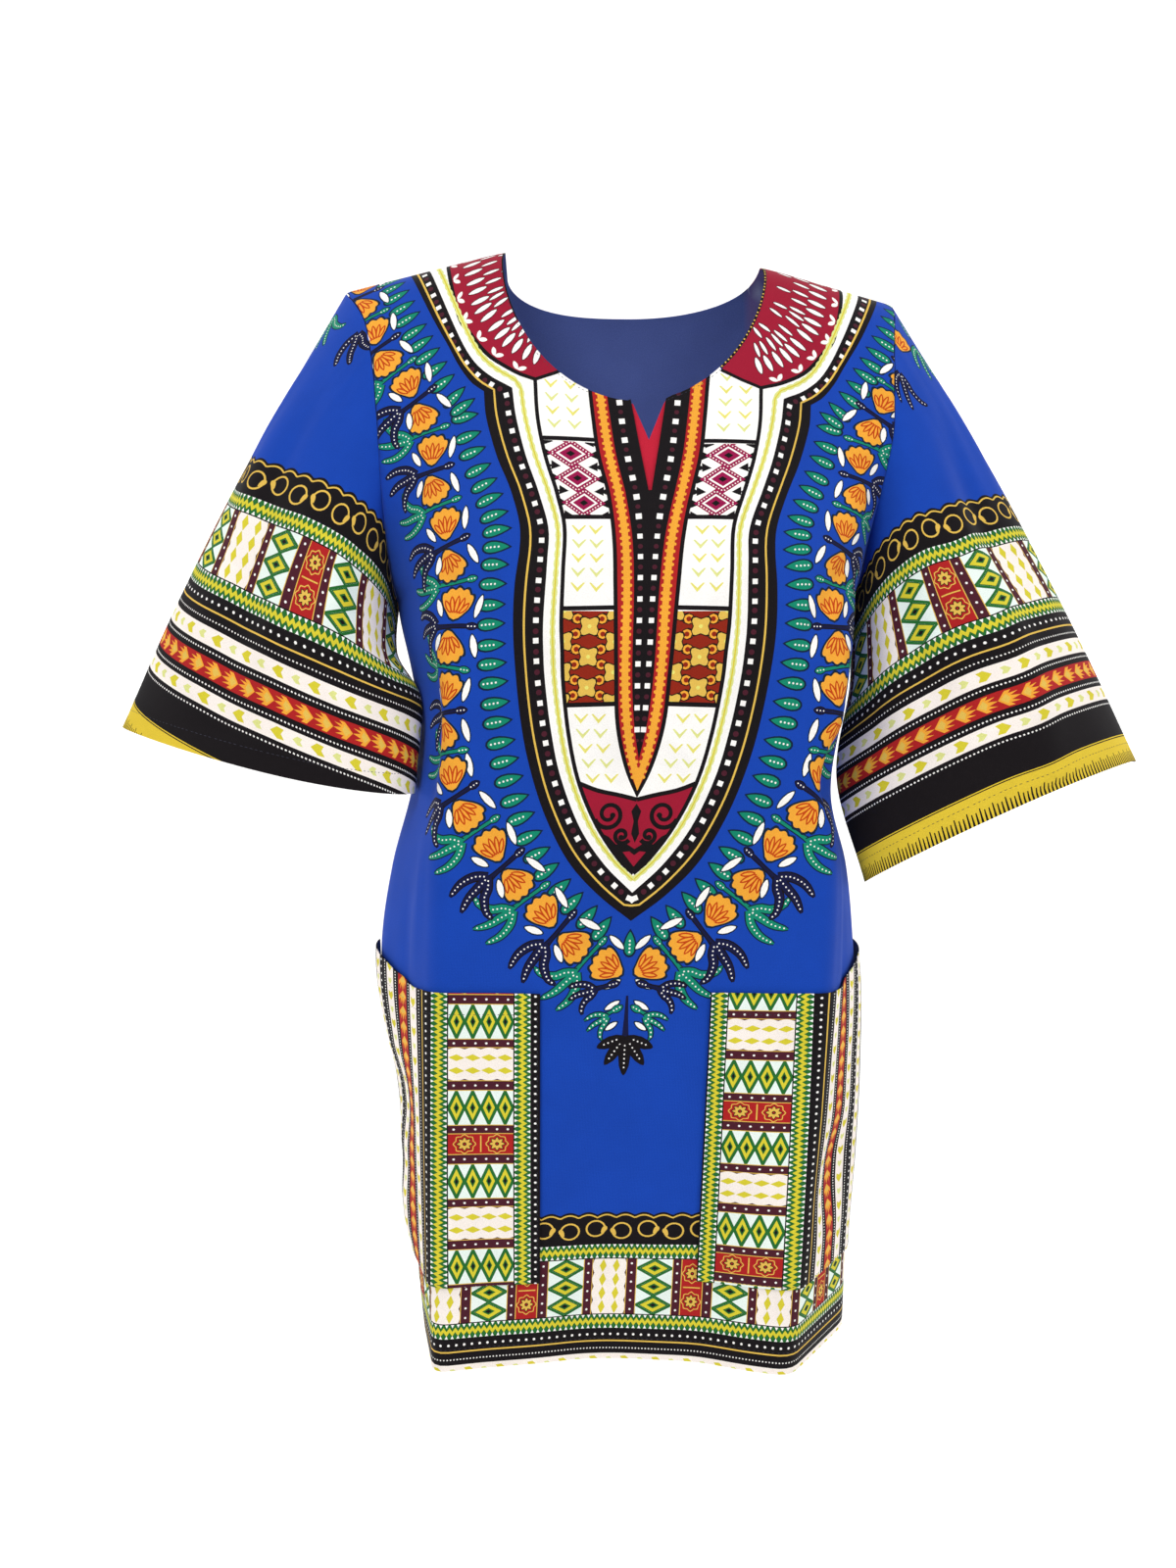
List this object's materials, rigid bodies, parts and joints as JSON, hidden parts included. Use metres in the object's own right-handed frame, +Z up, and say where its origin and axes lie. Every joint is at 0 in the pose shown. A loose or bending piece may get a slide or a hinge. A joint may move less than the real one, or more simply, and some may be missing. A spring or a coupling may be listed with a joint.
{
  "type": "dashiki tunic dress",
  "caption": "Printed cotton tunic dress with short flared sleeves, a round neck with a short slit and patch pockets that wrap to the sides, shaped as worn.",
  "frame": {"origin": "middle of the neck opening on the ridge of the shoulders, where the wearer holds the dress up", "axes": "+Z up along the wearer, +X towards the wearer's left (a viewer's right, facing the front), the front faces -Y"},
  "size_m": [0.7324, 0.2493, 0.7786],
  "materials": {
    "printed_cotton": "plain woven cotton, wax printed in blue with a garland, borders and a yoke",
    "border_print": "plain woven cotton printed with striped and diamond borders",
    "red_facing": "plain woven cotton, red"
  },
  "bodies": {
    "root": {"front": "printed_cotton", "back": "printed_cotton", "sleeve_left": "printed_cotton", "sleeve_right": "printed_cotton", "pocket_left": "border_print", "pocket_right": "border_print", "slit_facing": "red_facing"}
  },
  "joints": []
}
